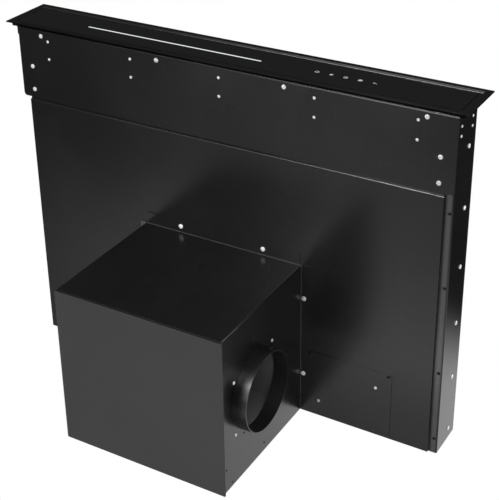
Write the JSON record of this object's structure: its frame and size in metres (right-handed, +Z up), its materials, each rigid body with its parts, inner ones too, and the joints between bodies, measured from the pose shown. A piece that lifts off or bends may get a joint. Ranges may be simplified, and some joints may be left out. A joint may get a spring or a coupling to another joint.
{
  "type": "pop-up downdraft extractor",
  "caption": "Pop-up kitchen downdraft vent: a black casing under a worktop plate with a rising glass-lidded tower and a blower box with a round side outlet.",
  "frame": {"origin": "centre of the top plate at the worktop plane, the plate's underside", "axes": "+X to the right along the plate, +Y to the rear, +Z up out of the worktop"},
  "size_m": [0.9, 0.377, 0.6587],
  "materials": {
    "black_coat": "semi-gloss black powder coat",
    "grey_coat": "semi-gloss dark grey powder coat",
    "lid_glass": "black tempered glass, polished",
    "light": "white light diffuser",
    "mark": "printed grey touch mark",
    "zinc": "zinc plated steel",
    "filter_metal": "satin baffle filter",
    "black_plastic": "moulded black plastic",
    "white_plastic": "natural acetal and nylon",
    "board": "solder-masked circuit board",
    "black_screw": "black oxide"
  },
  "bodies": {
    "chassis": {"top_plate": "black_coat", "support_frame": "black_coat", "rear_trim": "black_coat", "front_band": "black_coat", "lower_front_panel": "black_coat", "side_cover": "black_coat", "cover_spacers": "zinc", "left_cheek": "black_coat", "left_side_panel": "black_coat", "right_side_panel": "black_coat", "rear_panel": "black_coat", "base_panel": "black_coat", "joint_rail": "black_coat", "access_plate": "black_coat", "left_guide_rail": "zinc", "right_guide_rail": "zinc", "shaft_brackets": "black_plastic", "lift_gearbox": "black_plastic", "lift_motor": "zinc", "control_box": "black_plastic", "control_board": "board", "terminal_block": "white_plastic", "cable_gland": "black_plastic", "blower_case": "black_coat", "blower_front_cover": "grey_coat", "scroll_wall": "black_coat", "front_scroll_plate": "black_coat", "rear_scroll_plate": "black_coat", "inlet_ring": "black_plastic", "fan_motor": "zinc", "capacitor": "white_plastic", "outlet_spigot": "black_coat", "band_screws": "zinc", "band_rivets": "zinc", "side_screws": "zinc", "strip_screws": "black_screw", "flange_screws": "zinc", "access_screws": "zinc", "spigot_screws": "zinc", "case_rivets": "black_screw"},
    "tower": {"lid_glass": "lid_glass", "led_bar": "light", "touch_marks": "mark", "lid_carrier": "black_coat", "light_board": "board", "tower_front_frame": "black_coat", "tower_rear_wall": "black_coat", "left_filter": "filter_metal", "middle_filter": "filter_metal", "right_filter": "filter_metal", "left_column": "black_coat", "right_column": "black_coat", "left_rack": "white_plastic", "right_rack": "white_plastic", "sliders": "white_plastic"},
    "lift_shaft": {"cross_shaft": "zinc", "pinions": "white_plastic"},
    "fan_wheel": {"impeller": "grey_coat", "fan_shaft": "zinc"}
  },
  "joints": [
    {"name": "tower_lift", "type": "slide", "parent": "chassis", "child": "tower", "axis": [0, 0, 1], "range_m": [0, 0.3]},
    {"name": "lift_turn", "type": "hinge", "parent": "chassis", "child": "lift_shaft", "pos_m": [0, 0.016, -0.338], "axis": [-1, 0, 0], "range_deg": [0, 1433]},
    {"name": "fan_spin", "type": "hinge", "parent": "chassis", "child": "fan_wheel", "pos_m": [-0.04, -0.21595, -0.535], "axis": [0, 1, 0], "continuous": true}
  ],
  "couplings": [
    {"joint": "lift_turn", "follows": "tower_lift", "rad_per_m": 83.333}
  ]
}
